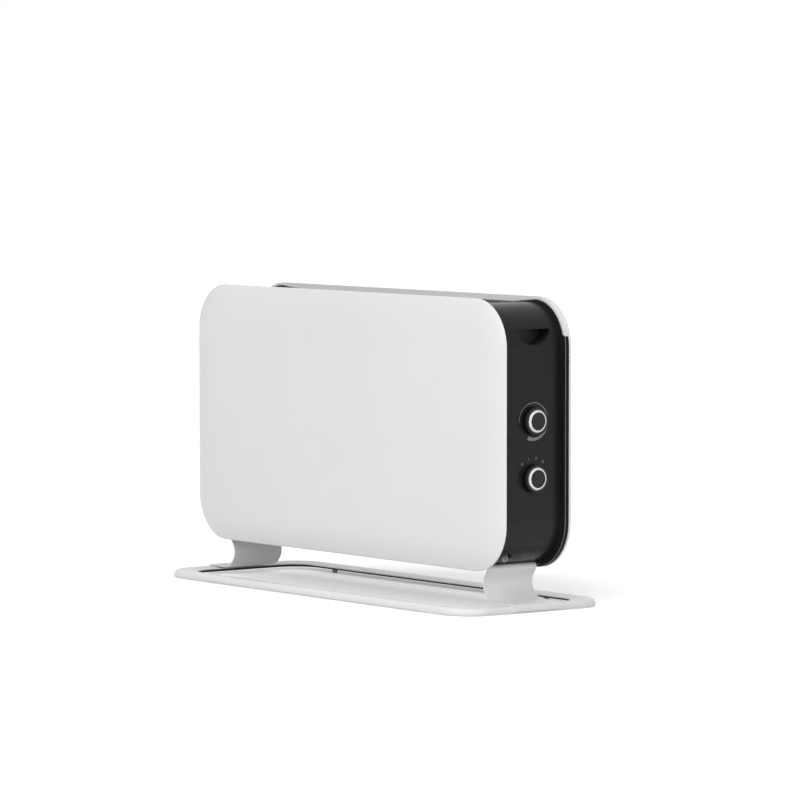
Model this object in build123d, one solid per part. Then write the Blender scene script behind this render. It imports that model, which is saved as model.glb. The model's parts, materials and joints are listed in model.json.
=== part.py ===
from build123d import *
import math
import os

# Convector heater, millimetres. X runs along the panels, the controls are at the +X end,
# the front panel faces -Y and Z is up. The origin is on the floor under the middle.

# Panels and body
panel_width = 600.0
panel_height = 307.0
panel_corner = 55.0
panel_sheet = 0.8
body_depth = 94.0
body_lift = 45.0
front_rim_depth = 1.2
crown_insets = (0.0, 3.0, 12.0, 40.0)
crown_rises = (0.0, 2.0, 4.6, 6.5)
pan_flange = 14.0
rear_pan_depth = 4.0
rear_pan_edge = 1.5
panel_mid = body_lift + panel_height / 2
panel_top = body_lift + panel_height
front_rim = -body_depth / 2
front_face = front_rim - crown_rises[-1]
rear_face = body_depth / 2
core_front = front_rim + front_rim_depth

# Rear surround: a dark frame below and a white trim over the top
frame_depth = 5.0
frame_band = 12.0
trim_rim = 3.0
trim_height = 7.0
trim_tall_half = panel_width / 2 - 101.0
trim_low_half = panel_width / 2 - 54.0
trim_end_drop = 42.0
trim_slant = 4.0
trim_gap = 0.4
surround_rear = rear_face - rear_pan_depth
core_rear = surround_rear - frame_depth
core_depth = core_rear - core_front
core_mid = (core_front + core_rear) / 2

# Moulded end caps
cap_end_inset = 10.0
cap_edge_inset = 6.5
cap_corner = 49.0
cap_wall = 3.0
cap_length = 52.0
cap_outer = panel_width / 2 - cap_end_inset
cap_inner = cap_outer - cap_length
core_top = panel_top - cap_edge_inset
core_bottom = body_lift + cap_edge_inset

# Finger grips in the end caps
grip_width = 51.0
grip_height = 18.0
grip_pocket = 22.0
grip_wall = 2.0
grip_drop = 34.5
grip_shift = 1.5
grip_top = panel_top - grip_drop

# Control fascia
fascia_sheet = 1.6
fascia_width = 66.0
fascia_drop = 65.0
fascia_height = 182.0
fascia_corner = 3.0
fascia_clearance = 0.15
fascia_top = panel_top - fascia_drop
fascia_mid = fascia_top - fascia_height / 2

# Knobs, shafts and the parts behind them
knob_radius = 16.0
knob_length = 8.8
knob_gap = 0.6
knob_wall = 1.8
knob_face_drop = 1.2
knob_ribs = 36
rib_height = 0.6
ring_radius = 13.2
ring_width = 2.4
ring_seat = 1.2
ring_bevel = 1.1
pointer_length = 6.0
pointer_width = 1.4
pointer_height = 0.5
hub_radius = 5.5
shaft_radius = 3.0
shaft_clearance = 0.05
shaft_length = 32.0
shaft_blind = 3.4
bush_radius = 4.8
neck_radius = 3.9
neck_clearance = 0.1
control_depth = 22.0
control_bush = 3.0
thermostat_height = 214.7
thermostat_case = 28.0
selector_height = 150.1
selector_radius = 15.0
terminal_tab = 6.0
terminal_tab_sheet = 0.8
terminal_tab_pitch = 9.0
knob_base = cap_outer + knob_gap
knob_face = knob_base + knob_length
ring_floor = knob_face - knob_face_drop - ring_seat
control_face = cap_outer - cap_wall
rest_selector_angle = 44.0

# Corner screws of the end caps
cap_screw_side = 21.7
cap_screw_rise = 8.4
cap_screw_recess = 5.5
cap_screw_head = 4.6
cap_screw_head_height = 2.6
cap_screw_shank = 1.9
cap_screw_depth = 26.0
cap_screw_boss = 7.5
cap_screw_length = 12.0
cross_slot = 1.2
cross_reach = 2.8

# Grilles
grille_sheet = 1.0
grille_flange = 9.0
outlet_columns = 6
outlet_rows = 4
outlet_slot_width = 7.0
outlet_bridge = 11.0
outlet_pitch_x = 2 * cap_inner / (outlet_columns + 0.35)
outlet_pitch_y = 16.0
intake_columns = 12
intake_slot_length = 52.0
intake_slot_width = 9.0
intake_pitch = 2 * cap_inner / (intake_columns + 3.9)

# Heating elements and their carriers
bracket_offset = cap_inner - 14.0
element_length = 2 * (bracket_offset - 15.0)
element_heights = (105.0, 162.0)
fin_hub = 7.0
fin_reach = 24.0
fin_web = 2.0
fin_rib = 1.2
fin_rib_length = 15.0
fin_rib_steps = (12.5, 18.0, 23.0)
rod_radius = 3.2
rod_length = 2 * (bracket_offset + 10.0)
insulator_radius = 6.2
insulator_flange = 9.0
insulator_flange_sheet = 2.0
insulator_length = 7.0
bracket_sheet = 1.0
bracket_height = 145.0
bracket_foot = 12.0
shield_sheet = 0.5
shield_gap = 2.0
shield_rise = 8.0
shield_height = 262.0
cutout_radius = 8.0
cutout_height = 6.0
cutout_rise = 128.0
cutout_shift = 16.0
cutout_flange = 13.0
tie_width = 14.0
tie_height = 7.0
tie_offset = panel_width / 5

# Small fittings
terminal_length = 30.0
terminal_depth = 18.0
terminal_height = 14.0
terminal_place = bracket_offset - 44.0
terminal_shift = -14.0
terminal_screw = 2.2
terminal_count = 3
tilt_length = 20.0
tilt_depth = 16.0
tilt_height = 26.0
gland_radius = 6.0
gland_flange = 8.5
gland_bore = 3.4
gland_drop = 5.0
gland_place = bracket_offset - 59.0
gland_shift = 18.0

# Base ring and its feet
base_length = panel_width - 5.0
base_depth = 208.0
base_corner = 38.0
base_band = 30.0
base_top = 9.0
base_underside = 0.8
base_sheet = 1.3
base_lip = 3.0
base_outer_edge = 5.0
base_inner_edge = 1.0
foot_length = 34.0
foot_clearance = 0.2
foot_offset_x = base_length / 2 - 92.5

# Legs
leg_width = 69.4
leg_sheet = 1.8
leg_heel = base_length / 2 - 41.5
leg_flange_end = leg_heel
leg_flange_start = leg_heel - 48.0
leg_waist = leg_heel - 18.0
leg_waist_height = 28.0
leg_top_bend = 4.0
leg_waist_bend = 17.0
leg_heel_bend = 19.0
leg_toe_bend = 5.0
leg_lip_clear = 0.1
leg_lip_end = 2.4

# Leg screws
screw_shank = 2.0
screw_head = 3.8
screw_head_height = 2.2
flange_screw_x = leg_flange_start + 14.0
ring_screw_x = base_length / 2 - base_band / 2
leg_screw_y = 22.0


def box(x0, x1, y0, y1, z0, z1):
    return Pos((x0 + x1) / 2, (y0 + y1) / 2, (z0 + z1) / 2) * Box(x1 - x0, y1 - y0, z1 - z0)


def slab(width, height, corner, y_front, y_rear):
    """Rounded rectangle in the plane of the panels, between two depths."""
    place = Plane((0, y_rear, panel_mid), x_dir=(1, 0, 0), z_dir=(0, -1, 0))
    return extrude(place * RectangleRounded(width, height, corner), amount=y_rear - y_front)


def panel_slab(inset, y_front, y_rear):
    return slab(panel_width - 2 * inset, panel_height - 2 * inset, panel_corner - inset, y_front, y_rear)


def rod_x(radius, x0, x1, y, z):
    stand = Align.CENTER, Align.CENTER, Align.MIN
    return Pos(x0, y, z) * Rot(0, 90, 0) * Cylinder(radius, x1 - x0, align=stand)


def rod_z(radius, z0, z1, x, y):
    stand = Align.CENTER, Align.CENTER, Align.MIN
    return Pos(x, y, z0) * Cylinder(radius, z1 - z0, align=stand)


def other_end(shape):
    return mirror(shape, Plane.YZ)


def crowned(sheet):
    """Space under the crowned front face, drawn in and back by the thickness of a sheet."""
    form = panel_slab(sheet, front_rim + sheet, core_front + sheet)
    sections = []
    for inset, rise in zip(crown_insets, crown_rises):
        place = Plane((0, front_rim + sheet - rise, panel_mid), x_dir=(1, 0, 0), z_dir=(0, -1, 0))
        width = panel_width - 2 * (inset + sheet)
        height = panel_height - 2 * (inset + sheet)
        sections.append(place * RectangleRounded(width, height, panel_corner - inset - sheet))
    for outer, inner in zip(sections, sections[1:]):
        form += loft([outer, inner], ruled=True)
    return form


def front_panel():
    """Pressed steel pan with a softly crowned face and a return flange behind its rim."""
    flange_face = core_front - panel_sheet
    shell = crowned(0) & panel_slab(0, front_face, core_front)
    hollow = crowned(panel_sheet) & panel_slab(0, front_face, flange_face)
    mouth = panel_slab(pan_flange, flange_face - panel_sheet, core_front)
    return shell - hollow - mouth


def rear_panel():
    """Shallow pan that closes the back."""
    shell = panel_slab(0, surround_rear, rear_face)
    edge = shell.edges().group_by(Axis.Y)[-1]
    shell = fillet(edge, rear_pan_edge)
    hollow = panel_slab(panel_sheet, surround_rear - panel_sheet, rear_face - panel_sheet)
    edge = hollow.edges().group_by(Axis.Y)[-1]
    return shell - fillet(edge, rear_pan_edge - panel_sheet)


def trim_region(gap):
    """Space above the slanted ends of the top trim, drawn in toward its middle by a gap."""
    reach = panel_width / 2 + trim_slant
    foot = reach - frame_band - trim_slant
    end = panel_top - trim_end_drop + gap
    place = Plane((0, core_rear - frame_depth, 0), x_dir=(1, 0, 0), z_dir=(0, -1, 0))
    corners = [
        (-reach, end - trim_slant),
        (-reach, panel_top + reach),
        (reach, panel_top + reach),
        (reach, end - trim_slant),
        (foot, end + trim_slant),
        (-foot, end + trim_slant),
    ]
    outline = make_face(Polyline(*corners, close=True))
    return extrude(place * outline, amount=-3 * frame_depth)


def trim_space(gap):
    """Rim and skirt of the top trim, thickened inward by a gap."""
    inside = panel_slab(trim_rim + gap, core_rear, surround_rear)
    rim = panel_slab(0, core_rear, surround_rear) - inside
    top = panel_top - trim_rim / 2
    low = panel_top - trim_rim - gap
    deep = panel_top - trim_height - gap
    skirt_corners = [
        (-trim_low_half - gap, top),
        (-trim_low_half - gap, low),
        (-trim_tall_half - gap, deep),
        (trim_tall_half + gap, deep),
        (trim_low_half + gap, low),
        (trim_low_half + gap, top),
    ]
    place = Plane((0, surround_rear, 0), x_dir=(1, 0, 0), z_dir=(0, -1, 0))
    skirt = extrude(place * make_face(Polyline(*skirt_corners, close=True)), amount=frame_depth)
    return rim + skirt


def top_trim():
    """White rim over the top of the back, deeper along the middle than round the corners."""
    return trim_space(0) & trim_region(trim_gap)


def rear_frame():
    """Dark moulded frame between the core and the back, rebated at the top for the trim."""
    ring = panel_slab(0, core_rear, surround_rear) - panel_slab(frame_band, core_rear, surround_rear)
    return ring - (trim_space(trim_gap) & trim_region(0))


def core_slab(inset, y_front, y_rear):
    width = 2 * (cap_outer - inset)
    height = core_top - core_bottom - 2 * inset
    return slab(width, height, cap_corner - inset, y_front, y_rear)


def grip_outline(margin):
    """Half moon with its flat side up."""
    half = grip_width / 2 + margin
    top = grip_top + margin
    low = grip_top - grip_height - margin
    flat = Line((grip_shift - half, top), (grip_shift + half, top))
    bow = ThreePointArc((grip_shift - half, top), (grip_shift, low), (grip_shift + half, top))
    return make_face([flat, bow])


def grip_block(margin, x0, x1):
    place = Plane((x0, 0, 0), x_dir=(0, 1, 0), z_dir=(1, 0, 0))
    return extrude(place * grip_outline(margin), amount=x1 - x0)


def cap_screw_place():
    """Height of a corner screw and the depth at which its head sits."""
    return core_bottom + cap_screw_rise, cap_outer - cap_screw_depth


def plain_cap():
    """End cap for the +X end, without its control openings."""
    cap = core_slab(0, core_front, core_rear)
    cap = cap - core_slab(cap_wall, core_front + cap_wall, core_rear - cap_wall)
    space = box(cap_inner, panel_width, core_front, core_rear, 0, panel_top)
    pocket_floor = cap_outer - grip_pocket
    height, seat = cap_screw_place()
    boss = rod_x(cap_screw_boss, seat - cap_screw_length, cap_outer, -cap_screw_side, height)
    inner = grip_block(grip_wall, pocket_floor - grip_wall, cap_outer) + boss
    cap = (cap + (inner & core_slab(0, core_front, core_rear))) & space
    cap = cap - grip_block(0, pocket_floor, panel_width)
    cap = cap - rod_x(cap_screw_recess, seat, panel_width, -cap_screw_side, height)
    return cap - rod_x(cap_screw_shank, cap_inner, panel_width, -cap_screw_side, height)


def fascia_block(clearance, x0, x1):
    width = fascia_width + 2 * clearance
    height = fascia_height + 2 * clearance
    place = Plane((x0, 0, fascia_mid), x_dir=(0, 1, 0), z_dir=(1, 0, 0))
    return extrude(place * RectangleRounded(width, height, fascia_corner), amount=x1 - x0)


def neck_hole(height):
    return rod_x(neck_radius + neck_clearance, cap_inner, panel_width, 0, height)


def right_end_cap():
    cap = plain_cap() - fascia_block(fascia_clearance, cap_outer - fascia_sheet, panel_width)
    return cap - neck_hole(thermostat_height) - neck_hole(selector_height)


def control_fascia():
    plate = fascia_block(0, cap_outer - fascia_sheet, cap_outer)
    return plate - neck_hole(thermostat_height) - neck_hole(selector_height)


def ribbed_outline():
    """Round outline with pointed ribs, closed on itself."""
    corners = []
    for step in range(2 * knob_ribs):
        radius = knob_radius - rib_height * (step % 2)
        turn = math.pi * step / knob_ribs
        corners.append((radius * math.cos(turn), radius * math.sin(turn)))
    return make_face(Polyline(*corners, close=True))


def knob_body(height):
    """Ribbed knob, hollow behind, with a hub for the shaft and a seat for its ring."""
    rim = knob_face - knob_face_drop
    place = Plane((knob_base, 0, height), x_dir=(0, 1, 0), z_dir=(1, 0, 0))
    body = extrude(place * ribbed_outline(), amount=rim - knob_base)
    body -= rod_x(ring_radius, ring_floor, knob_face, 0, height)
    body -= rod_x(knob_radius - 2 * knob_wall, knob_base, ring_floor - knob_wall, 0, height)
    body += rod_x(hub_radius, knob_base, ring_floor - knob_wall, 0, height)
    return body - rod_x(shaft_radius, knob_base, ring_floor - knob_wall / 2, 0, height)


def knob_ring(height):
    """Pale ring round the face of a knob, beveled outward."""
    ring = rod_x(ring_radius, ring_floor, knob_face, 0, height)
    ring = chamfer(ring.edges().group_by(Axis.X)[-1], ring_bevel)
    return ring - rod_x(ring_radius - ring_width, ring_floor, knob_face, 0, height)


def knob_cap(height, rest_angle):
    """Dark disc inside the ring, with a raised pointer at its rest direction."""
    face = knob_face - knob_face_drop
    disc = rod_x(ring_radius - ring_width, ring_floor, face, 0, height)
    reach = ring_radius - 2 * ring_width
    half = pointer_width / 2
    pointer = box(face, face + pointer_height, -half, half, reach - pointer_length, reach)
    return disc + Pos(0, 0, height) * Rot(rest_angle, 0, 0) * pointer


def control_shaft(height):
    end = ring_floor - knob_wall / 2
    return rod_x(shaft_radius, end - shaft_length, end, 0, height)


def control_bushing(height):
    """Collar that seats on the cap wall and the neck that passes through it."""
    collar = rod_x(bush_radius, control_face - control_bush, control_face, 0, height)
    return collar + rod_x(neck_radius, control_face, cap_outer - 2 * neck_clearance, 0, height)


def control_tabs(height):
    """Flat push-on terminals at the back of a control."""
    back = control_face - control_bush - control_depth
    tabs = []
    for step in (-1, 0, 1):
        y = step * terminal_tab_pitch
        low = height - terminal_tab / 2
        tabs.append(box(back - terminal_tab, back, y, y + terminal_tab_sheet, low, low + terminal_tab))
    return tabs


def with_bore(control, height):
    bore = shaft_radius + shaft_clearance
    start = ring_floor - knob_wall / 2 - shaft_length - shaft_blind
    return control - rod_x(bore, start, panel_width, 0, height)


def thermostat():
    half = thermostat_case / 2
    front = control_face - control_bush
    case = box(front - control_depth, front, -half, half, thermostat_height - half, thermostat_height + half)
    case = chamfer(case.edges().filter_by(Axis.X), 2 * panel_sheet)
    case = with_bore(case + control_bushing(thermostat_height), thermostat_height)
    for tab in control_tabs(thermostat_height):
        case += tab
    return case


def power_selector():
    front = control_face - control_bush
    case = rod_x(selector_radius, front - control_depth, front, 0, selector_height)
    case = with_bore(case + control_bushing(selector_height), selector_height)
    for tab in control_tabs(selector_height):
        case += tab
    return case


def cap_screw():
    height, seat = cap_screw_place()
    top = seat + cap_screw_head_height
    head = rod_x(cap_screw_head, seat, top, -cap_screw_side, height)
    shank = rod_x(cap_screw_shank, seat - cap_screw_length, seat, -cap_screw_side, height)
    half = cross_slot / 2
    cross = box(top - cross_slot, top, -cross_reach, cross_reach, -half, half)
    cross += box(top - cross_slot, top, -half, half, -cross_reach, cross_reach)
    return head + shank - Pos(0, -cap_screw_side, height) * cross


def grille_plate(z_low):
    return box(-cap_inner, cap_inner, core_front, core_rear, z_low, z_low + grille_sheet)


def top_grille():
    """Outlet grille with rows of rounded slots and a folded edge front and back."""
    grille = grille_plate(core_top - grille_sheet)
    low = core_top - grille_flange
    for y0, y1 in ((core_front, core_front + grille_sheet), (core_rear - grille_sheet, core_rear)):
        grille += box(-cap_inner, cap_inner, y0, y1, low, core_top)
    slot = SlotOverall(outlet_pitch_x - outlet_bridge, outlet_slot_width)
    hole = extrude(slot, amount=4 * grille_sheet, both=True)
    holes = []
    for column in range(outlet_columns):
        x = (column - (outlet_columns - 1) / 2) * outlet_pitch_x
        for row in range(outlet_rows):
            y = core_mid + (row - (outlet_rows - 1) / 2) * outlet_pitch_y
            holes.append(Pos(x, y, core_top) * hole)
    return grille - holes


def bottom_grille():
    """Floor of the body, with cross slots that let cold air in and holes for what it carries."""
    grille = grille_plate(core_bottom)
    holes = []
    for column in range(intake_columns):
        x = (column - (intake_columns - 1) / 2) * intake_pitch
        hole = Box(intake_slot_width, intake_slot_length, 4 * grille_sheet)
        if abs(abs(x) - tie_offset) < tie_width:
            continue
        if abs(x - gland_place) < gland_radius + intake_slot_width:
            continue
        holes.append(Pos(x, core_mid, core_bottom) * hole)
    holes.append(rod_z(gland_radius, core_bottom, core_bottom + grille_sheet, gland_place, gland_shift))
    for x in (-flange_screw_x, flange_screw_x):
        for y in (-leg_screw_y, leg_screw_y):
            holes.append(rod_z(screw_shank, core_bottom, core_bottom + grille_sheet, x, y))
    return grille - holes


def fin_profile():
    """Cross-shaped aluminium extrusion with short ribs on each arm."""
    shape = Circle(fin_hub)
    for arm in range(4):
        turn = Rot(0, 0, 45 + 90 * arm)
        shape += turn * Pos(fin_reach / 2, 0) * Rectangle(fin_reach, fin_web)
        for step, place in enumerate(fin_rib_steps):
            length = fin_rib_length - 2 * (len(fin_rib_steps) - step)
            shape += turn * Pos(place, 0) * Rectangle(fin_rib, length)
    return shape - Circle(rod_radius)


def element_fins(height):
    place = Plane((-element_length / 2, core_mid, height), x_dir=(0, 1, 0), z_dir=(1, 0, 0))
    return extrude(place * fin_profile(), amount=element_length)


def element_rods():
    half = rod_length / 2
    return [rod_x(rod_radius, -half, half, core_mid, height) for height in element_heights]


def insulator(height):
    """Ceramic bush that carries one end of an element in the bracket at +X."""
    seat = bracket_offset
    body = rod_x(insulator_radius, seat - insulator_flange_sheet, seat + insulator_length, core_mid, height)
    body += rod_x(insulator_flange, seat - insulator_flange_sheet, seat, core_mid, height)
    return body - rod_x(rod_radius, seat - insulator_length, seat + 2 * insulator_length, core_mid, height)


def element_insulators():
    ends = [insulator(height) for height in element_heights]
    return ends + [other_end(end) for end in ends]


def shield_front_face():
    return core_front + shield_gap + shield_sheet


def shield_rear_face():
    return core_rear - shield_gap - shield_sheet


def element_bracket():
    """Bent plate at +X that stands on the floor of the body and holds both elements."""
    floor = core_bottom + grille_sheet
    y0 = shield_front_face()
    y1 = shield_rear_face()
    plate = box(bracket_offset, bracket_offset + bracket_sheet, y0, y1, floor, floor + bracket_height)
    foot_end = bracket_offset + bracket_sheet
    plate += box(bracket_offset - bracket_foot, foot_end, y0, y1, floor, floor + bracket_sheet)
    for height in element_heights:
        plate -= rod_x(insulator_radius, 0, panel_width, core_mid, height)
    for y in (-leg_screw_y, leg_screw_y):
        plate -= rod_z(screw_shank, floor, floor + bracket_sheet, flange_screw_x, y)
    return plate


def heat_shield(y0, y1):
    """Thin plate between the elements and a panel, with a folded lip at its top."""
    reach = bracket_offset + bracket_sheet
    low = core_bottom + grille_sheet + shield_rise
    plate = box(-reach, reach, y0, y1, low, low + shield_height)
    inward = shield_rise if y0 < 0 else -shield_rise
    lip_start = min(y0, y0 + inward)
    lip_end = max(y1, y1 + inward)
    return plate + box(-reach, reach, lip_start, lip_end, low + shield_height - shield_sheet, low + shield_height)


def thermal_cutout():
    """Round safety switch on the inner face of the +X bracket."""
    height = core_bottom + cutout_rise
    y = core_mid + cutout_shift
    body = rod_x(cutout_radius, bracket_offset - cutout_height, bracket_offset, y, height)
    body += box(bracket_offset - panel_sheet, bracket_offset, y - cutout_radius, y + cutout_radius,
                height - cutout_flange, height + cutout_flange)
    top = height + cutout_radius / 2
    body += box(bracket_offset - 2 * cutout_height, bracket_offset - cutout_height, y, y + terminal_tab_sheet,
                top - terminal_tab, top)
    return body


def cross_ties():
    """Two bars that join the front and back across the floor of the body."""
    floor = core_bottom + grille_sheet
    ties = []
    for x in (-tie_offset, tie_offset):
        bar = box(x - tie_width / 2, x + tie_width / 2, core_front, core_rear, floor, floor + tie_height)
        groove = box(x - tie_width / 2 + leg_sheet, x + tie_width / 2 - leg_sheet, core_front + pan_flange,
                     core_rear - pan_flange, floor + leg_sheet, floor + tie_height)
        ties.append(bar - groove)
    return ties


def terminal_block():
    floor = core_bottom + grille_sheet
    x0 = terminal_place - terminal_length / 2
    y0 = terminal_shift - terminal_depth / 2
    block = box(x0, x0 + terminal_length, y0, y0 + terminal_depth, floor, floor + terminal_height)
    pitch = terminal_length / terminal_count
    for step in range(terminal_count):
        x = x0 + pitch * (step + 0.5)
        top = floor + terminal_height
        block -= rod_z(terminal_screw, top - terminal_height / 2, top, x, terminal_shift)
        block -= Pos(x, terminal_shift, floor + terminal_height / 3) * Rot(90, 0, 0) * Cylinder(
            terminal_screw, terminal_depth)
    return block


def tilt_switch():
    """Tip-over switch that stands inside the cap at the control end."""
    x0 = cap_inner + cap_wall
    floor = core_bottom + cap_wall
    y0 = core_mid - tilt_depth / 2
    rise = tilt_height / 4
    case = box(x0, x0 + tilt_length, y0, y0 + tilt_depth, floor, floor + tilt_height)
    case &= core_slab(cap_wall, core_front, core_rear)
    return case + rod_z(tilt_depth / 4, floor + tilt_height, floor + tilt_height + rise, x0 + rise, core_mid)


def cord_gland():
    """Grommet in the floor of the body, where a supply cord enters."""
    low = core_bottom - gland_drop
    high = core_bottom + grille_sheet
    gland = rod_z(gland_radius, low, high + leg_sheet, gland_place, gland_shift)
    gland += rod_z(gland_flange, core_bottom - leg_sheet, core_bottom, gland_place, gland_shift)
    gland += rod_z(gland_flange, high, high + leg_sheet, gland_place, gland_shift)
    return gland - rod_z(gland_bore, low, high + leg_sheet, gland_place, gland_shift)


def leg():
    """Steel strip at +X, bent inward under the body and folded over the side of the base."""
    half = leg_sheet / 2
    top = core_bottom - half
    sole = base_top + half
    toe = base_length / 2 + leg_lip_clear + half
    corners = [
        (leg_flange_start, 0, top),
        (leg_flange_end, 0, top),
        (leg_waist, 0, leg_waist_height),
        (leg_heel, 0, sole),
        (toe, 0, sole),
        (toe, 0, leg_lip_end),
    ]
    bends = [leg_top_bend, leg_waist_bend, leg_heel_bend, leg_toe_bend]
    path = FilletPolyline(*corners, radius=bends)
    start = Plane((leg_flange_start, 0, top), x_dir=(0, 1, 0), z_dir=(1, 0, 0))
    strip = sweep(start * Rectangle(leg_width, leg_sheet), path=path)
    for y in (-leg_screw_y, leg_screw_y):
        strip -= rod_z(screw_shank, top - leg_sheet, core_bottom, flange_screw_x, y)
        strip -= rod_z(screw_shank, base_top, base_top + leg_sheet / 2, ring_screw_x, y)
    return strip


def base_slab(inset, z0, z1):
    outline = RectangleRounded(base_length - 2 * inset, base_depth - 2 * inset, base_corner - inset)
    return extrude(Pos(0, 0, z0) * outline, amount=z1 - z0)


def base_ring():
    """Pressed ring with a rounded outer edge and a short lip round its window, open underneath."""
    ring = base_slab(0, base_underside, base_top)
    ring = fillet(ring.edges().group_by(Axis.Z)[-1], base_outer_edge)
    window = base_slab(base_band, 0, base_top)
    ring = ring - window
    inner_edges = ring.edges().group_by(Axis.Z)[-1].filter_by(
        lambda edge: abs(edge.center().X) < base_length / 2 - base_band + base_sheet
        and abs(edge.center().Y) < base_depth / 2 - base_band + base_sheet)
    ring = fillet(inner_edges, base_inner_edge)
    ceiling = base_top - base_sheet
    lip_outline = base_band - base_sheet
    channel = base_slab(base_outer_edge, 0, ceiling) - base_slab(lip_outline, base_top - base_lip, ceiling)
    ring = ring - channel
    for x in (-ring_screw_x, ring_screw_x):
        for y in (-leg_screw_y, leg_screw_y):
            ring -= rod_z(screw_shank, ceiling, base_top, x, y)
    return ring


def base_feet():
    """Rubber pads pressed into the channel under the front and back bars."""
    ceiling = base_top - base_sheet
    y_out = base_depth / 2 - base_outer_edge - foot_clearance
    y_in = base_depth / 2 - base_band + base_sheet + foot_clearance
    feet = []
    for x in (-foot_offset_x, foot_offset_x):
        for side in (-1, 1):
            low, high = sorted((side * y_in, side * y_out))
            feet.append(box(x - foot_length / 2, x + foot_length / 2, low, high, 0, ceiling))
    return feet


def leg_screws():
    """Screws up through the leg flanges into the body, and up through the ring into the legs."""
    flange_low = core_bottom - leg_sheet
    flange_high = core_bottom + grille_sheet + bracket_sheet
    ceiling = base_top - base_sheet
    screws = []
    for x_sign in (-1, 1):
        for y in (-leg_screw_y, leg_screw_y):
            x = x_sign * flange_screw_x
            head = rod_z(screw_head, flange_low - screw_head_height, flange_low, x, y)
            screws.append(head + rod_z(screw_shank, flange_low, flange_high, x, y))
            x = x_sign * ring_screw_x
            head = rod_z(screw_head, ceiling - screw_head_height, ceiling, x, y)
            screws.append(head + rod_z(screw_shank, ceiling, base_top + leg_sheet / 2, x, y))
    return screws


def nodes():
    cap_screws = [cap_screw(), other_end(cap_screw())]
    return {
        "front_panel": front_panel(),
        "rear_panel": rear_panel(),
        "rear_frame": rear_frame(),
        "top_trim": top_trim(),
        "top_grille": top_grille(),
        "bottom_grille": bottom_grille(),
        "right_end_cap": right_end_cap(),
        "left_end_cap": other_end(plain_cap()),
        "control_fascia": control_fascia(),
        "thermostat_knob": knob_body(thermostat_height),
        "thermostat_knob_ring": knob_ring(thermostat_height),
        "thermostat_knob_cap": knob_cap(thermostat_height, 90),
        "thermostat_shaft": control_shaft(thermostat_height),
        "thermostat": thermostat(),
        "selector_knob": knob_body(selector_height),
        "selector_knob_ring": knob_ring(selector_height),
        "selector_knob_cap": knob_cap(selector_height, rest_selector_angle),
        "selector_shaft": control_shaft(selector_height),
        "power_selector": power_selector(),
        "lower_element_fins": element_fins(element_heights[0]),
        "upper_element_fins": element_fins(element_heights[1]),
        "element_rods": element_rods(),
        "element_insulators": element_insulators(),
        "right_element_bracket": element_bracket(),
        "left_element_bracket": other_end(element_bracket()),
        "front_heat_shield": heat_shield(core_front + shield_gap, shield_front_face()),
        "rear_heat_shield": heat_shield(shield_rear_face(), core_rear - shield_gap),
        "thermal_cutout": thermal_cutout(),
        "cross_ties": cross_ties(),
        "terminal_block": terminal_block(),
        "tilt_switch": tilt_switch(),
        "cord_gland": cord_gland(),
        "cap_screws": cap_screws,
        "right_leg": leg(),
        "left_leg": other_end(leg()),
        "base_ring": base_ring(),
        "base_feet": base_feet(),
        "leg_screws": leg_screws(),
    }


def write(name, shape):
    pieces = shape if isinstance(shape, list) else [shape]
    solids = [solid for piece in pieces for solid in piece.solids()]
    whole = solids[0] if len(solids) == 1 else Compound(children=solids)
    export_step(whole, os.path.join("parts", name + ".step"))
    print(name, len(solids), "solids, volume", round(sum(solid.volume for solid in solids)))


os.makedirs("parts", exist_ok=True)
for node_name, node_shape in nodes().items():
    write(node_name, node_shape)
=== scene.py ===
import json
import math

import bpy
import bmesh
from mathutils import Matrix, Vector


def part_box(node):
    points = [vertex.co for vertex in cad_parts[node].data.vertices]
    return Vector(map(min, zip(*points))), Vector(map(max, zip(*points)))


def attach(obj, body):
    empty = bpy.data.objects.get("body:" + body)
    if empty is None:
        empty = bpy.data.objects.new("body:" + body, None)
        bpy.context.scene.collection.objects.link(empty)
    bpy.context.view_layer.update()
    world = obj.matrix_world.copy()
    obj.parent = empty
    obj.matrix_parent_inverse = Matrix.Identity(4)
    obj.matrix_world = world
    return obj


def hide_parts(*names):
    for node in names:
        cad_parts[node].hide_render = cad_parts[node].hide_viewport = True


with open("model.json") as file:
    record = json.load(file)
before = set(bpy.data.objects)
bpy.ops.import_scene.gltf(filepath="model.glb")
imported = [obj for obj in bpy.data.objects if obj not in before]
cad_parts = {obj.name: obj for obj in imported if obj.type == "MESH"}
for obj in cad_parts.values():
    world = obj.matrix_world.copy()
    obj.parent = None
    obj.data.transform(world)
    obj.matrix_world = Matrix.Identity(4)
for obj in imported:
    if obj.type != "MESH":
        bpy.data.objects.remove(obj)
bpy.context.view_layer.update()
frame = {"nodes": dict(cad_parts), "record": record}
nodes = frame["nodes"]

MM = 0.001
BODY = "heater"
SLOTS = {part["node"]: part["material_slot"] for part in frame["record"]["subparts"]}
BODIES = frame["record"]["behaviour"]["bodies"]
BODY_OF = {node: body for body, members in BODIES.items() for node in members}
THERMOSTAT = "thermostat_dial"
SELECTOR = "selector_dial"

# The photograph's view of the heater
VIEW_FOOT = (0.0, -0.047, 0.045)
VIEW_AZIMUTH = 53.04
VIEW_ELEVATION = 3.65
VIEW_DISTANCE = 5.8152
VIEW_RIGHT = 0.06242
VIEW_UP = 0.17997
VIEW_LENS = 225.0
SENSOR = 36.0

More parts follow.
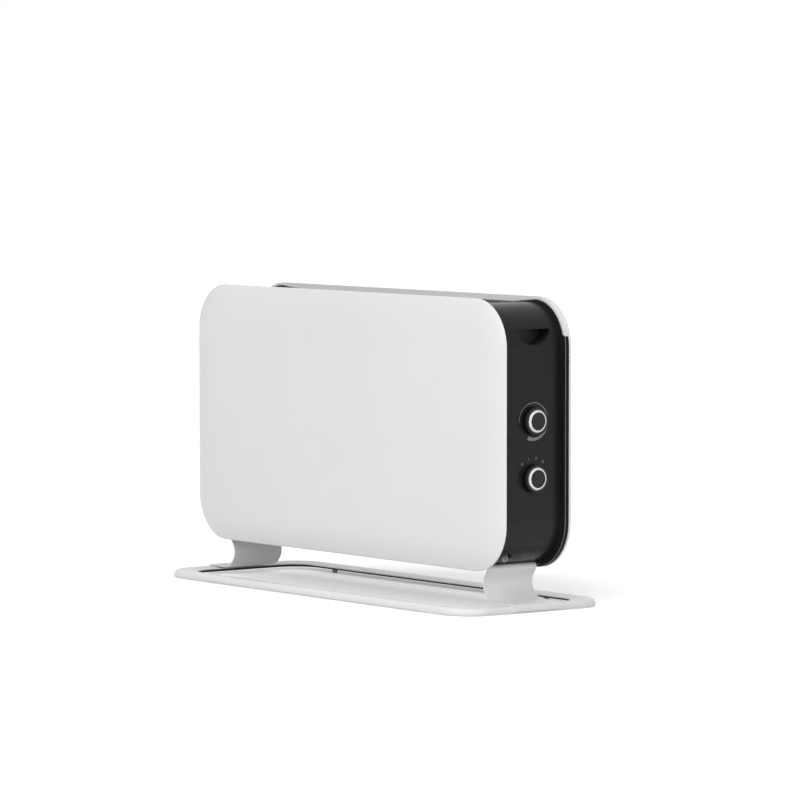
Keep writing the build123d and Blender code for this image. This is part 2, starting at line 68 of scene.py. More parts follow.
# Painted panels
PANEL_CORNER = 55 * MM
PANEL_SHEET = 0.8 * MM
CORNER_STEPS = 24
ROUNDING_STEPS = 5
FRONT_RIM = 1.2 * MM
FRONT_ROUND = 0.7 * MM
FRONT_RETURN = 14 * MM
REAR_RIM = 4.0 * MM
REAR_ROUND = 1.4 * MM
RETURN_CORNER = PANEL_SHEET * 1.5
RETURN_CLEARANCE = PANEL_SHEET * 1.05
CROWN_REACH = 40 * MM
CROWN_POWER = 2.2
CROWN_STEPS = 20
CROWN_CROWDING = 1.3

# Base ring
BASE_CORNER = 38 * MM
BASE_WINDOW_CORNER = 30 * MM
BASE_BAND = 23 * MM
BASE_EDGE = 5 * MM
BASE_EDGE_STEPS = 8
BASE_DISH = 1.9 * MM
BASE_SHEET = 1.3 * MM
BASE_LINING = 2.8 * MM
BASE_BOTTOM_ROUND = 0.3 * MM
BASE_LIP_SET = 0.2 * MM
BASE_LIP_ROUND = 0.5 * MM
BASE_LIP_SHOULDER = 0.15 * MM
BASE_LIP_RISE = 0.05 * MM
BASE_PAINT_END = 0.9 * MM
BASE_LINING_START = 1.0 * MM

# Feet
FOOT_RADIUS = 3.2 * MM
FOOT_TOP = 6.6 * MM
FOOT_TAPER = 0.86
FOOT_SHOULDER = 0.95
FOOT_EDGE = 0.4 * MM
FOOT_STRAIGHT = 0.6 * MM
FOOT_STEPS = 32

# Knobs
KNOB_RIBS = 56
RIB_HEIGHT = 0.45 * MM
RIB_WIDTH = 1.0 * MM
RIB_SIDES = 10
BARREL_EDGE = 0.7 * MM
BARREL_EDGE_MIDDLE = BARREL_EDGE * 0.3
RING_CONE = 2.2 * MM
RING_BORE = 10.3 * MM
RING_CREST = 0.35 * MM
RING_LIFT = 0.02 * MM
TURNED_STEPS = 96

# Printing on the control fascia
PRINT_LIFT = 0.1 * MM
SCALE_RADIUS = 20.8 * MM
SCALE_START = -93
SCALE_SWEEP = 296
SCALE_THIN = 0.6 * MM
SCALE_OUTWARD = 1.7 * MM
SCALE_INWARD = 1.9 * MM
SCALE_SWELL = 2.4
SCALE_STEPS = 96
MARK_RADIUS = 23.0 * MM
MARK_START = -44
MARK_STEP = 26.5
MARK_HEIGHT = 3.0 * MM
MARK_STROKE = 0.5 * MM
MARK_PITCH = 2.1 * MARK_STROKE
OFF_RING_SHARE = 0.8
OFF_RING_STEPS = 20
DOT_SIZE = 0.35 * MM

# Studio
FLOOR_REACH = 30.0
FLOOR_NEAR = 0.22
FLOOR_FAR = 0.5
FLOOR_GLOW = 0.35
WORLD_LEVEL = 0.29
SOFTBOX_ELEVATION = 27.0
SOFTBOX_DISTANCE = 3.0
SOFTBOX_SIZE = (1.6, 1.6)
KEY_AZIMUTH = 10.0
KEY_POWER = 35.0
SIDE_AZIMUTH = 80.0
SIDE_POWER = 24.0
TOP_PLACE = (0.3, 0.1, 3.0)
TOP_SIZE = (2.6, 2.2)
TOP_POWER = 19.0
LIGHT_AIM = (0, 0, 0.17)

# Span of a noise that a finish spreads its colours and its gloss over
NOISE_LOW = 0.3
NOISE_HIGH = 0.7

# Smooth copies of solids
MERGE_REACH = 2e-6
FLAT_LIMIT = math.radians(0.05)
SMOOTH_LIMIT = math.radians(32)
BROKEN_LIMIT = math.radians(40)
CAP_EDGE = 0.4 * MM
SURROUND_EDGE = 0.45 * MM
LEG_EDGE = 0.3 * MM

# Parts of end caps and surround with painted shade or a painted highlight: the grip pockets, the
# surround's outer side and its broken edge
SHADED_SIDE_FACING = 0.6
CAP_CORNER = 49 * MM
CAP_AXIS_X = 241 * MM
CAP_AXIS_Z = 296.5 * MM
GRIP_MARGIN = 0.8 * MM
GRIP_SHIFT = 1.5 * MM
GRIP_HALF = 27 * MM
GRIP_LOW = 290 * MM
GRIP_HIGH = 319 * MM


def linear(value):
    """Linear strength of one screen value from 0 to 255."""
    share = value / 255
    return share / 12.92 if share <= 0.04045 else ((share + 0.055) / 1.055) ** 2.4


def grey(value, warm=0.0):
    level = linear(value)
    return (level * (1 + warm), level, level * (1 - warm), 1)


class Finish:
    """A material under construction, with its node tree and its main shader."""

    def __init__(self, name):
        self.material = bpy.data.materials.new(name)
        self.material.use_nodes = True
        self.tree = self.material.node_tree
        self.shader = self.tree.nodes["Principled BSDF"]

    def node(self, kind, **values):
        made = self.tree.nodes.new(kind)
        for key, value in values.items():
            setattr(made, key, value)
        return made

    def link(self, out, into):
        self.tree.links.new(out, into)

    def constant(self, **values):
        for key, value in values.items():
            self.shader.inputs[key.replace("_", " ")].default_value = value

    def noise(self, scale, detail=3.0, stretch=(1, 1, 1)):
        place = self.node("ShaderNodeTexCoord")
        mapping = self.node("ShaderNodeMapping")
        mapping.inputs["Scale"].default_value = stretch
        self.link(place.outputs["Object"], mapping.inputs["Vector"])
        texture = self.node("ShaderNodeTexNoise")
        texture.inputs["Scale"].default_value = scale
        texture.inputs["Detail"].default_value = detail
        self.link(mapping.outputs["Vector"], texture.inputs["Vector"])
        return texture.outputs["Fac"]

    def colours(self, factor, dark, light):
        ramp = self.node("ShaderNodeValToRGB")
        ramp.color_ramp.elements[0].position = NOISE_LOW
        ramp.color_ramp.elements[1].position = NOISE_HIGH
        ramp.color_ramp.elements[0].color = dark
        ramp.color_ramp.elements[1].color = light
        self.link(factor, ramp.inputs["Fac"])
        self.link(ramp.outputs["Color"], self.shader.inputs["Base Color"])

    def roughness(self, factor, low, high):
        span = self.node("ShaderNodeMapRange")
        span.inputs["From Min"].default_value = NOISE_LOW
        span.inputs["From Max"].default_value = NOISE_HIGH
        span.inputs["To Min"].default_value = low
        span.inputs["To Max"].default_value = high
        self.link(factor, span.inputs["Value"])
        self.link(span.outputs["Result"], self.shader.inputs["Roughness"])

    def bump(self, height, strength, distance):
        bump = self.node("ShaderNodeBump")
        bump.inputs["Strength"].default_value = strength
        bump.inputs["Distance"].default_value = distance
        self.link(height, bump.inputs["Height"])
        self.link(bump.outputs["Normal"], self.shader.inputs["Normal"])


def powder_coat(name, dark, light, low=0.34, high=0.42):
    """Satin powder coat: slightly uneven gloss and a faint orange peel."""
    finish = Finish(name)
    finish.constant(IOR=1.48)
    finish.colours(finish.noise(4.0, 4.0), dark, light)
    finish.roughness(finish.noise(30.0), low, high)
    finish.bump(finish.noise(900.0, 2.0), 0.12, 0.00012)
    return finish.material


def moulded(name, dark, light, low, high, shine=0.5, grain=2200.0, depth=0.00004):
    """Moulded plastic with a fine spark-eroded grain."""
    finish = Finish(name)
    finish.constant(IOR=1.5, Specular_IOR_Level=shine)
    finish.colours(finish.noise(6.0, 4.0), dark, light)
    finish.roughness(finish.noise(45.0), low, high)
    finish.bump(finish.noise(grain, 2.0), 0.25, depth)
    return finish.material


def bare_metal(name, dark, light, low, high, stretch):
    """Rolled or drawn metal with streaks along its length."""
    finish = Finish(name)
    finish.constant(Metallic=1.0)
    streaks = finish.noise(60.0, 5.0, stretch)
    finish.colours(streaks, dark, light)
    finish.roughness(streaks, low, high)
    finish.bump(finish.noise(300.0, 4.0, stretch), 0.1, 0.00005)
    return finish.material


def fired_ceramic():
    finish = Finish("fired_ceramic")
    finish.colours(finish.noise(120.0, 6.0), grey(205, 0.04), grey(228, 0.03))
    finish.roughness(finish.noise(200.0), 0.55, 0.75)
    finish.bump(finish.noise(1500.0, 3.0), 0.3, 0.00008)
    return finish.material


def soft_rubber(name, dark, light):
    finish = Finish(name)
    finish.colours(finish.noise(80.0, 5.0), dark, light)
    finish.roughness(finish.noise(150.0), 0.75, 0.9)
    finish.bump(finish.noise(1800.0, 3.0), 0.35, 0.0001)
    return finish.material


def printed_ink():
    finish = Finish("printed_ink")
    finish.colours(finish.noise(700.0, 4.0), grey(128), grey(142))
    finish.roughness(finish.noise(500.0), 0.5, 0.65)
    finish.bump(finish.noise(2500.0, 2.0), 0.1, 0.00003)
    return finish.material


white_coat = powder_coat("white_powder_coat", grey(236, 0.002), grey(240, 0.002))
black_coat = powder_coat("black_powder_coat", grey(9), grey(13), 0.5, 0.65)
black_moulding = moulded("black_moulding", grey(31), grey(36), 0.24, 0.32, shine=0.14)
# Painted shade: a darker copy of the black moulding for the surround's outer side
surround_painted_shade = moulded("surround_painted_shade", grey(6), grey(9), 0.4, 0.5, shine=0.12)
trim_moulding = moulded("trim_moulding", grey(238), grey(242), 0.45, 0.55, shine=0.3)
# Painted highlight: light grey for the bevel along the surround's broken edge
surround_painted_highlight = moulded("surround_painted_highlight", grey(105), grey(120), 0.35, 0.45, shine=0.5)
knob_moulding = moulded("knob_moulding", grey(14), grey(20), 0.36, 0.48, shine=0.3)
white_moulding = moulded("white_moulding", grey(246), grey(250), 0.28, 0.36)
dark_moulding = moulded("switch_moulding", grey(60), grey(78), 0.45, 0.6)
zinc_plate = bare_metal("zinc_plate", grey(168), grey(196), 0.35, 0.5, (1, 14, 14))
dark_screw = bare_metal("dark_screw", grey(100), grey(124), 0.3, 0.42, (12, 1, 1))
bright_steel = bare_metal("bright_steel", grey(180), grey(205), 0.22, 0.36, (12, 1, 1))
drawn_aluminium = bare_metal("drawn_aluminium", grey(190), grey(212), 0.3, 0.42, (1, 30, 30))
ceramic = fired_ceramic()
rubber = soft_rubber("soft_rubber", grey(30), grey(44))
pale_rubber = soft_rubber("pale_rubber", grey(190), grey(204))
ink = printed_ink()

FINISHES = {
    "white_steel": white_coat,
    "black_steel": black_coat,
    "zinc_steel": zinc_plate,
    "black_plastic": black_moulding,
    "white_plastic": white_moulding,
    "knob_plastic": knob_moulding,
    "switch_plastic": dark_moulding,
    "bright_steel": bright_steel,
    "element_aluminium": drawn_aluminium,
    "ceramic": ceramic,
    "rubber": rubber,
}


def dress(obj, material):
    obj.data.materials.clear()
    obj.data.materials.append(material)


def smooth_copy(node, edge=0):
    """Merged copy of a CAD node with smooth curved faces and lightly broken edges."""
    shape = bmesh.new()
    shape.from_mesh(nodes[node].data)
    bmesh.ops.remove_doubles(shape, verts=shape.verts, dist=MERGE_REACH)
    bmesh.ops.dissolve_limit(shape, angle_limit=FLAT_LIMIT, verts=shape.verts, edges=shape.edges)
    for line in shape.edges:
        line.smooth = line.calc_face_angle(math.pi) < SMOOTH_LIMIT
    name = node + "_skin"
    mesh = bpy.data.meshes.new(name)
    shape.to_mesh(mesh)
    shape.free()
    piece = mesh_piece(name, mesh, FINISHES[SLOTS[node]], BODY_OF[node])
    if edge:
        bevel = piece.modifiers.new("edge", "BEVEL")
        bevel.width = edge
        bevel.segments = 2
        bevel.limit_method = "ANGLE"
        bevel.angle_limit = BROKEN_LIMIT
        bevel.use_clamp_overlap = True
    normals = piece.modifiers.new("normals", "WEIGHTED_NORMAL")
    normals.keep_sharp = True
    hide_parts(node)
    return piece


def end_cap(name):
    """End cap with a darker, rougher pocket behind its grip, painted shade in the recess."""
    cap = smooth_copy(name, CAP_EDGE)
    cap.data.materials.append(black_coat)
    # Pocket faces take the darker black coat as painted shade
    for face in cap.data.polygons:
        if in_grip(face.center):
            face.material_index = 1


def rear_surround():
    """Rear frame with painted shade on its outer side and a painted highlight along its broken edge.
    """
    surround = smooth_copy("rear_frame", SURROUND_EDGE)
    surround.data.materials.append(surround_painted_shade)
    surround.data.materials.append(surround_painted_highlight)
    # The bevel along the broken edge takes the lighter finish, a painted highlight
    surround.modifiers["edge"].material = 2
    # Faces turned to the side take the darker finish, painted shade
    for face in surround.data.polygons:
        if abs(face.normal.x) > SHADED_SIDE_FACING:
            face.material_index = 1


def in_grip(place):
    """Whether a point of an end cap lies in the pocket behind its half-moon opening."""
    reach = math.hypot(abs(place.x) - CAP_AXIS_X, max(0.0, place.z - CAP_AXIS_Z))
    return (reach < CAP_CORNER - GRIP_MARGIN and abs(place.y - GRIP_SHIFT) < GRIP_HALF
            and GRIP_LOW < place.z < GRIP_HIGH)


def dress_frame():
    for name, obj in nodes.items():
        dress(obj, FINISHES[SLOTS[name]])
    end_cap("right_end_cap")
    end_cap("left_end_cap")
    rear_surround()
    dress(smooth_copy("top_trim"), trim_moulding)
    for name in ("right_leg", "left_leg"):
        smooth_copy(name, LEG_EDGE)
    for name in ("cord_gland", "leg_screws", "thermostat_shaft", "selector_shaft"):
        smooth_copy(name)
    dress(smooth_copy("cap_screws"), dark_screw)


def mesh_piece(name, mesh, material, body):
    for face in mesh.polygons:
        face.use_smooth = True
    piece = bpy.data.objects.new(name, mesh)
    bpy.context.scene.collection.objects.link(piece)
    dress(piece, material)
    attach(piece, body)
    return piece


def outline_points(width, height, corner):
    """Points along a rounded rectangle round the middle of its plane."""
    points = []
    centres = (
        (width / 2 - corner, height / 2 - corner),
        (corner - width / 2, height / 2 - corner),
        (corner - width / 2, corner - height / 2),
        (width / 2 - corner, corner - height / 2),
    )
    for quarter, (across, up) in enumerate(centres):
        for step in range(CORNER_STEPS + 1):
            turn = math.radians(90 * (quarter + step / CORNER_STEPS))
            points.append((across + corner * math.cos(turn), up + corner * math.sin(turn)))
    return points


def band_faces(shape, first, second):
    count = len(first)
    for index in range(count):
        after = (index + 1) % count
        shape.faces.new((first[index], first[after], second[after], second[index]))


def add_loft(shape, loops, closed):
    """Skin through a row of loops, closed on itself or capped at both ends."""
    rows = [[shape.verts.new(point) for point in loop] for loop in loops]
    for first, second in zip(rows, rows[1:]):
        band_faces(shape, first, second)
    if closed:
        band_faces(shape, rows[-1], rows[0])
    else:
        shape.faces.new(rows[0])
        shape.faces.new(reversed(rows[-1]))


def finished_mesh(name, shape):
    bmesh.ops.recalc_face_normals(shape, faces=shape.faces)
    mesh = bpy.data.meshes.new(name)
    shape.to_mesh(mesh)
    shape.free()
    return mesh


def lofted_mesh(name, loops, closed):
    shape = bmesh.new()
    add_loft(shape, loops, closed)
    return finished_mesh(name, shape)


def rounding(top, radius, steps=ROUNDING_STEPS):
    """Insets and heights of the quarter round between a side and the face at its top."""
    turns = [math.pi / 2 * step / steps for step in range(steps + 1)]
    return [(radius * (1 - math.cos(turn)), top - radius * (1 - math.sin(turn))) for turn in turns]


def crown(rim, rise):
    """Insets and heights of a soft edge that climbs from its rim and flattens out."""
    rows = []
    for step in range(1, CROWN_STEPS + 1):
        share = (step / CROWN_STEPS) ** CROWN_CROWDING
        rows.append((CROWN_REACH * share, rim + rise * (1 - (1 - share) ** CROWN_POWER)))
    return rows


def panel_piece(node, rows, rear, side, across, middle):
    """Panel skin through rows of insets and depths, from its face round the rim to its inside."""
    width, height = across
    loops = []
    for inset, depth in rows:
        points = outline_points(width - 2 * inset, height - 2 * inset, PANEL_CORNER - inset)
        loops.append([(x, rear + side * depth, middle + z) for x, z in points])
    name = node + "_skin"
    piece = mesh_piece(name, lofted_mesh(name, loops, False), white_coat, BODY)
    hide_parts(node)


def sheet_inside(outside):
    """Rows that follow the outside of a pressed panel one sheet farther in."""
    rows = [(inset + PANEL_SHEET, depth - PANEL_SHEET) for inset, depth in outside[1:]]
    return [row for row in rows if row[1] > RETURN_CLEARANCE]


def front_panel():
    """Pressed front: thin rim, softly crowned face and a return behind it."""
    low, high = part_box("front_panel")
    rise = high.y - low.y - FRONT_RIM
    outside = [(0.0, 0.0)] + rounding(FRONT_RIM, FRONT_ROUND) + crown(FRONT_RIM, rise)
    flange = [(FRONT_RETURN, 0.0), (FRONT_RETURN, PANEL_SHEET), (RETURN_CORNER, PANEL_SHEET)]
    rows = outside[::-1] + flange + sheet_inside(outside)
    across = (high.x - low.x, high.z - low.z)
    panel_piece("front_panel", rows, high.y, -1, across, (high.z + low.z) / 2)


def rear_panel():
    """Flat rear pan with a rounded rim, open toward the body."""
    low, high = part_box("rear_panel")
    outside = [(0.0, 0.0)] + rounding(REAR_RIM, REAR_ROUND)
    rows = outside[::-1] + sheet_inside(outside)
    across = (high.x - low.x, high.z - low.z)
    panel_piece("rear_panel", rows, low.y, 1, across, (high.z + low.z) / 2)


def base_rows(floor, top):
    """Insets and heights round the ring's section, with the count of its painted rows."""
    lip = top - BASE_DISH
    hem = lip - BASE_LINING
    inner = BASE_BAND - BASE_LIP_SET
    behind = BASE_BAND - BASE_SHEET
    painted = [(BASE_BOTTOM_ROUND, floor), (0.0, floor + BASE_BOTTOM_ROUND)]
    painted += rounding(top, BASE_EDGE, BASE_EDGE_STEPS)
    painted += [
        (BASE_BAND - BASE_LIP_ROUND, lip + BASE_LIP_RISE),
        (BASE_BAND - BASE_LIP_SHOULDER, lip - BASE_LIP_SHOULDER),
        (BASE_BAND, lip - BASE_LIP_ROUND),
        (BASE_BAND, lip - BASE_PAINT_END),
    ]
    lined = [
        (inner, lip - BASE_LINING_START),
        (inner, hem),
        (behind, hem),
        (behind, lip - BASE_SHEET),
        (BASE_EDGE, top - BASE_SHEET),
        (BASE_SHEET, top - BASE_EDGE),
        (BASE_SHEET, floor),
    ]
    return painted + lined, len(painted)


def base_ring():
    """Ring of rounded sheet with a dished top, dark inside its edge and underneath."""
    low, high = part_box("base_ring")
    width = high.x - low.x
    depth = high.y - low.y
    rows, painted = base_rows(low.z, high.z)
    loops = []
    for inset, height in rows:
        share = min(1.0, inset / BASE_BAND)
        corner = BASE_CORNER + (BASE_WINDOW_CORNER - BASE_CORNER) * share
        points = outline_points(width - 2 * inset, depth - 2 * inset, corner)
        loops.append([(x, y, height) for x, y in points])
    name = "base_ring_skin"
    piece = mesh_piece(name, lofted_mesh(name, loops, True), white_coat, BODY)
    piece.data.materials.append(black_coat)
    around = len(loops[0])
    for index, face in enumerate(piece.data.polygons):
        row = index // around
        face.material_index = 1 if painted <= row < len(rows) - 1 else 0
    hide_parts("base_ring")


def circle(radius, steps, first=0.0, second=0.0):
    """Points round a circle in the plane of two axes."""
    turns = [2 * math.pi * step / steps for step in range(steps)]
    return [(first + radius * math.cos(turn), second + radius * math.sin(turn)) for turn in turns]


def turned_mesh(profile, centre, closed=False):
    """Turned shape about a line along X; profile is a row of (x, radius)."""
    loops = []
    for x, radius in profile:
        loops.append([(x, y, z) for y, z in circle(radius, TURNED_STEPS, centre.y, centre.z)])
    return lofted_mesh("turned", loops, closed)


def half_height(node):
    low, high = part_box(node)
    return (high.z - low.z) / 2


def middle_of(node):
    low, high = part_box(node)
    return (low + high) / 2


def group_input(tree, name, kind, value=None):
    socket = tree.interface.new_socket(name=name, in_out="INPUT", socket_type=kind)
    if value is not None:
        socket.default_value = value


def rib_tree():
    """Rounded ribs that stand round a barrel along X."""
    tree = bpy.data.node_groups.new("knob_ribs", "GeometryNodeTree")
    group_input(tree, "Geometry", "NodeSocketGeometry")
    group_input(tree, "Ribs", "NodeSocketInt", KNOB_RIBS)
    group_input(tree, "Barrel radius", "NodeSocketFloat", 0.015)
    group_input(tree, "Rib length", "NodeSocketFloat", 0.006)
    group_input(tree, "Rib radius", "NodeSocketFloat", RIB_WIDTH / 2)
    group_input(tree, "Start", "NodeSocketVector", (0, 0, 0))
    tree.interface.new_socket(name="Geometry", in_out="OUTPUT", socket_type="NodeSocketGeometry")
    add = tree.nodes.new
    inputs = add("NodeGroupInput")
    output = add("NodeGroupOutput")
    circle = add("GeometryNodeMeshCircle")
    rib = add("GeometryNodeMeshCylinder")
    rib.inputs["Vertices"].default_value = RIB_SIDES
    place = add("GeometryNodeInstanceOnPoints")
    turn = add("GeometryNodeTransform")
    turn.inputs["Rotation"].default_value = (0, math.pi / 2, 0)
    realize = add("GeometryNodeRealizeInstances")
    shade = add("GeometryNodeSetShadeSmooth")
    paint = add("GeometryNodeSetMaterial")
    paint.inputs["Material"].default_value = knob_moulding
    join = add("GeometryNodeJoinGeometry")
    link = tree.links.new
    link(inputs.outputs["Ribs"], circle.inputs["Vertices"])
    link(inputs.outputs["Barrel radius"], circle.inputs["Radius"])
    link(inputs.outputs["Rib radius"], rib.inputs["Radius"])
    link(inputs.outputs["Rib length"], rib.inputs["Depth"])
    link(circle.outputs["Mesh"], place.inputs["Points"])
    link(rib.outputs["Mesh"], place.inputs["Instance"])
    link(place.outputs["Instances"], turn.inputs["Geometry"])
    link(inputs.outputs["Start"], turn.inputs["Translation"])
    link(turn.outputs["Geometry"], join.inputs["Geometry"])
    link(inputs.outputs["Geometry"], join.inputs["Geometry"])
    link(join.outputs["Geometry"], realize.inputs["Geometry"])
    link(realize.outputs["Geometry"], shade.inputs["Geometry"])
    link(shade.outputs["Geometry"], paint.inputs["Geometry"])
    link(paint.outputs["Geometry"], output.inputs["Geometry"])
    return tree


def knob_barrel(node, body, tree):
    """Ribbed barrel: a turned core with ribs set round it, made one mesh."""
    low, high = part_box(node)
    centre = middle_of(node)
    core = half_height(node) - RIB_HEIGHT
    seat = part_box(node + "_ring")[0].x
    seat_radius = half_height(node + "_ring")
    profile = [
        (low.x, core - BARREL_EDGE),
        (low.x, core),
        (high.x - BARREL_EDGE, core),
        (high.x - BARREL_EDGE_MIDDLE, core - BARREL_EDGE_MIDDLE),
        (high.x, core - BARREL_EDGE),
        (high.x, seat_radius),
        (seat, seat_radius),
    ]
    name = node + "_barrel"
    source = bpy.data.objects.new(name + "_core", turned_mesh(profile, centre))
    bpy.context.scene.collection.objects.link(source)
    ribs = source.modifiers.new("ribs", "NODES")
    ribs.node_group = tree
    sizes = {
        "Ribs": KNOB_RIBS,
        "Barrel radius": core - RIB_WIDTH / 2 + RIB_HEIGHT,
        "Rib length": high.x - low.x - 2 * BARREL_EDGE,
        "Rib radius": RIB_WIDTH / 2,
        "Start": (centre.x - BARREL_EDGE / 2, centre.y, centre.z),
    }
    for item in tree.interface.items_tree:
        if item.in_out == "INPUT" and item.name in sizes:
            ribs[item.identifier] = sizes[item.name]
    bpy.context.view_layer.update()
    evaluated = source.evaluated_get(bpy.context.evaluated_depsgraph_get())
    mesh = bpy.data.meshes.new_from_object(evaluated)
    mesh.name = name
    bpy.data.objects.remove(source)
    piece = mesh_piece(name, mesh, knob_moulding, body)
    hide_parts(node)


def base_feet():
    """Four small tapered pads under the ring."""
    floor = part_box("base_feet")[0].z
    foot_x, foot_y, _ = frame["record"]["mounts"][0]["pos_m"]
    rows = [
        (floor, FOOT_RADIUS * FOOT_TAPER),
        (floor + FOOT_EDGE, FOOT_RADIUS * FOOT_SHOULDER),
        (FOOT_TOP - FOOT_STRAIGHT, FOOT_RADIUS),
        (FOOT_TOP, FOOT_RADIUS),
    ]
    shape = bmesh.new()
    for side in (-1, 1):
        for end in (-1, 1):
            loops = []
            for height, radius in rows:
                points = circle(radius, FOOT_STEPS, side * foot_x, end * foot_y)
                loops.append([(x, y, height) for x, y in points])
            add_loft(shape, loops, False)
    name = "base_feet_skin"
    piece = mesh_piece(name, finished_mesh(name, shape), pale_rubber, BODY)
    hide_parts("base_feet")


def knob_ring(knob, body):
    """Pale ring: a cone that rises from its seat to a narrow crest, hollow in the middle."""
    node = knob + "_ring"
    low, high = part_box(node)
    radius = half_height(node)
    disc_radius = half_height(knob + "_cap")
    back = min(low.x, high.x - RING_CONE - RING_CREST)
    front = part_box(knob)[1].x + RING_LIFT
    profile = [
        (back, disc_radius),
        (back, radius),
        (high.x - RING_CONE - RING_CREST, radius),
        (high.x - RING_CONE, radius - RING_CREST * 0.5),
        (high.x - RING_CREST * 0.3, RING_BORE + RING_CREST * 1.6),
        (high.x, RING_BORE + RING_CREST * 0.8),
        (high.x - RING_CREST * 0.4, RING_BORE),
        (front, RING_BORE),
        (front, disc_radius),
    ]
    mesh = turned_mesh(profile, middle_of(node), closed=True)
    piece = mesh_piece(node + "_skin", mesh, white_moulding, body)
    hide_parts(node)


def printed_piece(name, outlines, x):
    """Thin printed shape on the control face from (y, z) outlines."""
    shape = bmesh.new()
    for outline in outlines:
        back = [shape.verts.new((x, y, z)) for y, z in outline]
        front = [shape.verts.new((x + PRINT_LIFT, y, z)) for y, z in outline]
        shape.faces.new(front)
        shape.faces.new(reversed(back))
        band_faces(shape, back, front)
    piece = bpy.data.objects.new(name, finished_mesh(name, shape))
    bpy.context.scene.collection.objects.link(piece)
    dress(piece, ink)
    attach(piece, BODY)


def dial_point(centre, radius, degrees):
    """Point on the control face at an angle clockwise from the top, seen from outside."""
    turn = math.radians(degrees)
    return centre.y + radius * math.sin(turn), centre.z + radius * math.cos(turn)


def temperature_scale(face):
    """Crescent that thickens clockwise round the thermostat knob."""
    centre = middle_of("thermostat_knob")
    pairs = []
    for step in range(SCALE_STEPS + 1):
        share = step / SCALE_STEPS
        angle = SCALE_START + SCALE_SWEEP * share
        swell = share ** SCALE_SWELL
        outer = dial_point(centre, SCALE_RADIUS + SCALE_OUTWARD * swell, angle)
        inner = dial_point(centre, SCALE_RADIUS - SCALE_THIN - SCALE_INWARD * swell, angle)
        pairs.append((outer, inner))
    outlines = [(a[0], b[0], b[1], a[1]) for a, b in zip(pairs, pairs[1:])]
    printed_piece("temperature_scale", outlines, face)


def bar(y, z, width, height):
    return [(y - width / 2, z - height / 2), (y + width / 2, z - height / 2),
            (y + width / 2, z + height / 2), (y - width / 2, z + height / 2)]


def off_ring(y, z):
    """Small open ring as short straight pieces."""
    width = MARK_HEIGHT * OFF_RING_SHARE
    outlines = []
    for step in range(OFF_RING_STEPS):
        corners = []
        for ahead, inward in ((0, 0), (1, 0), (1, 1), (0, 1)):
            turn = 2 * math.pi * (step + ahead) / OFF_RING_STEPS
            half_across = width / 2 - MARK_STROKE * inward
            half_up = MARK_HEIGHT / 2 - MARK_STROKE * inward
            corners.append((y + half_across * math.cos(turn), z + half_up * math.sin(turn)))
        outlines.append(corners)
    return outlines


def power_marks(face):
    """An open ring for off, one, two and three bars for the settings, and dots between."""
    centre = middle_of("selector_knob")
    outlines = off_ring(*dial_point(centre, MARK_RADIUS, MARK_START))
    for setting in (1, 2, 3):
        y, z = dial_point(centre, MARK_RADIUS, MARK_START + MARK_STEP * setting)
        for step in range(setting):
            across = (step - (setting - 1) / 2) * MARK_PITCH
            outlines.append(bar(y + across, z, MARK_STROKE, MARK_HEIGHT))
        y, z = dial_point(centre, MARK_RADIUS, MARK_START + MARK_STEP * (setting - 0.5))
        outlines.append(bar(y, z, DOT_SIZE, DOT_SIZE))
    printed_piece("power_marks", outlines, face)


def make_pieces():
    front_panel()
    rear_panel()
    base_ring()
    base_feet()
    tree = rib_tree()
    knobs = (("thermostat_knob", THERMOSTAT), ("selector_knob", SELECTOR))
    for knob, body in knobs:
        knob_barrel(knob, body, tree)
    for knob, body in knobs:
        knob_ring(knob, body)
    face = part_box("control_fascia")[1].x
    temperature_scale(face)
    power_marks(face)


def floor_material():
    """Pale floor that keeps the heater's shadow and reads white to the camera farther out."""
    finish = Finish("studio_floor")
    finish.constant(Roughness=0.9, Specular_IOR_Level=0.0)
    finish.constant(Base_Color=(0.8, 0.8, 0.8, 1))
    place = finish.node("ShaderNodeTexCoord")
    away = finish.node("ShaderNodeVectorMath", operation="LENGTH")
    finish.link(place.outputs["Object"], away.inputs[0])
    span = finish.node("ShaderNodeMapRange")
    span.inputs["From Min"].default_value = FLOOR_NEAR
    span.inputs["From Max"].default_value = FLOOR_FAR
    span.inputs["To Min"].default_value = FLOOR_GLOW
    finish.link(away.outputs["Value"], span.inputs["Value"])
    path = finish.node("ShaderNodeLightPath")
    seen = finish.node("ShaderNodeMath", operation="MAXIMUM")
    finish.link(path.outputs["Is Camera Ray"], seen.inputs[0])
    finish.link(path.outputs["Is Glossy Ray"], seen.inputs[1])
    strength = finish.node("ShaderNodeMath", operation="MULTIPLY")
    finish.link(seen.outputs[0], strength.inputs[0])
    finish.link(span.outputs["Result"], strength.inputs[1])
    glow = finish.node("ShaderNodeEmission")
    finish.link(strength.outputs[0], glow.inputs["Strength"])
    both = finish.node("ShaderNodeAddShader")
    output = finish.tree.nodes["Material Output"]
    finish.link(finish.shader.outputs[0], both.inputs[0])
    finish.link(glow.outputs[0], both.inputs[1])
    finish.link(both.outputs[0], output.inputs["Surface"])
    return finish.material


def make_floor():
    mesh = bpy.data.meshes.new("floor")
    corners = [(-FLOOR_REACH, -FLOOR_REACH, 0), (FLOOR_REACH, -FLOOR_REACH, 0),
               (FLOOR_REACH, FLOOR_REACH, 0), (-FLOOR_REACH, FLOOR_REACH, 0)]
    mesh.from_pydata(corners, [], [(0, 1, 2, 3)])
    floor = bpy.data.objects.new("floor", mesh)
    bpy.context.scene.collection.objects.link(floor)
    dress(floor, floor_material())


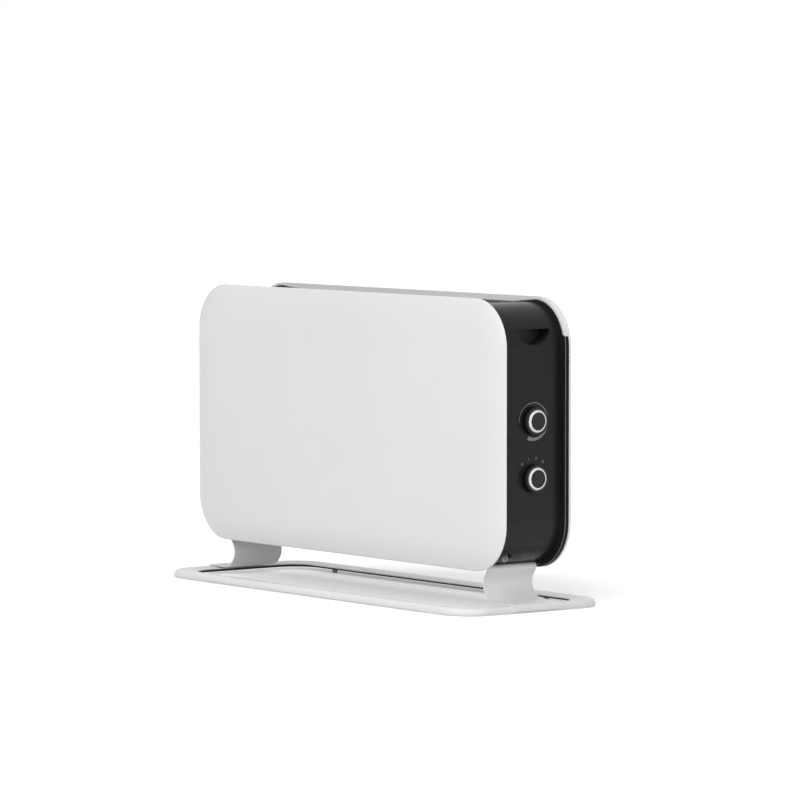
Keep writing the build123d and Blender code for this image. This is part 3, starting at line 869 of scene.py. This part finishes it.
def make_world():
    """Even white surround: bright to the camera and to reflections, softer as light."""
    world = bpy.data.worlds.new("studio")
    bpy.context.scene.world = world
    world.use_nodes = True
    tree = world.node_tree
    background = tree.nodes["Background"]
    background.inputs["Color"].default_value = (1, 1, 1, 1)
    path = tree.nodes.new("ShaderNodeLightPath")
    seen = tree.nodes.new("ShaderNodeMath")
    seen.operation = "MAXIMUM"
    tree.links.new(path.outputs["Is Camera Ray"], seen.inputs[0])
    tree.links.new(path.outputs["Is Glossy Ray"], seen.inputs[1])
    level = tree.nodes.new("ShaderNodeMapRange")
    level.inputs["To Min"].default_value = WORLD_LEVEL
    level.inputs["To Max"].default_value = 1.0
    tree.links.new(seen.outputs[0], level.inputs["Value"])
    tree.links.new(level.outputs["Result"], background.inputs["Strength"])


def area_light(name, place, size, power):
    data = bpy.data.lights.new(name, "AREA")
    data.shape = "RECTANGLE"
    data.size, data.size_y = size
    data.energy = power
    light = bpy.data.objects.new(name, data)
    bpy.context.scene.collection.objects.link(light)
    light.location = place
    aim = Vector(LIGHT_AIM) - Vector(place)
    light.rotation_euler = aim.to_track_quat("-Z", "Y").to_euler()


def direction(azimuth, elevation):
    """Unit vector from an azimuth, turned from the front to the control end, and an elevation."""
    rise = math.radians(elevation)
    turn = math.radians(azimuth)
    level = math.cos(rise)
    return Vector((math.sin(turn) * level, -math.cos(turn) * level, math.sin(rise)))


def make_lights():
    softboxes = (("key_softbox", KEY_AZIMUTH, KEY_POWER), ("side_softbox", SIDE_AZIMUTH, SIDE_POWER))
    for name, azimuth, power in softboxes:
        place = Vector(LIGHT_AIM) + direction(azimuth, SOFTBOX_ELEVATION) * SOFTBOX_DISTANCE
        area_light(name, place, SOFTBOX_SIZE, power)
    area_light("top_softbox", TOP_PLACE, TOP_SIZE, TOP_POWER)


def make_camera():
    back = direction(VIEW_AZIMUTH, VIEW_ELEVATION)
    azimuth = math.radians(VIEW_AZIMUTH)
    right = Vector((math.cos(azimuth), math.sin(azimuth), 0))
    up = back.cross(right)
    data = bpy.data.cameras.new("camera")
    data.lens = VIEW_LENS
    data.sensor_width = SENSOR
    camera = bpy.data.objects.new("camera", data)
    bpy.context.scene.collection.objects.link(camera)
    turn = Matrix((right, up, back)).transposed().to_4x4()
    place = Vector(VIEW_FOOT) + back * VIEW_DISTANCE + right * VIEW_RIGHT + up * VIEW_UP
    camera.matrix_world = Matrix.Translation(place) @ turn
    bpy.context.scene.camera = camera


bpy.context.scene.view_settings.view_transform = "Standard"
dress_frame()
make_pieces()
make_floor()
make_world()
make_lights()
make_camera()
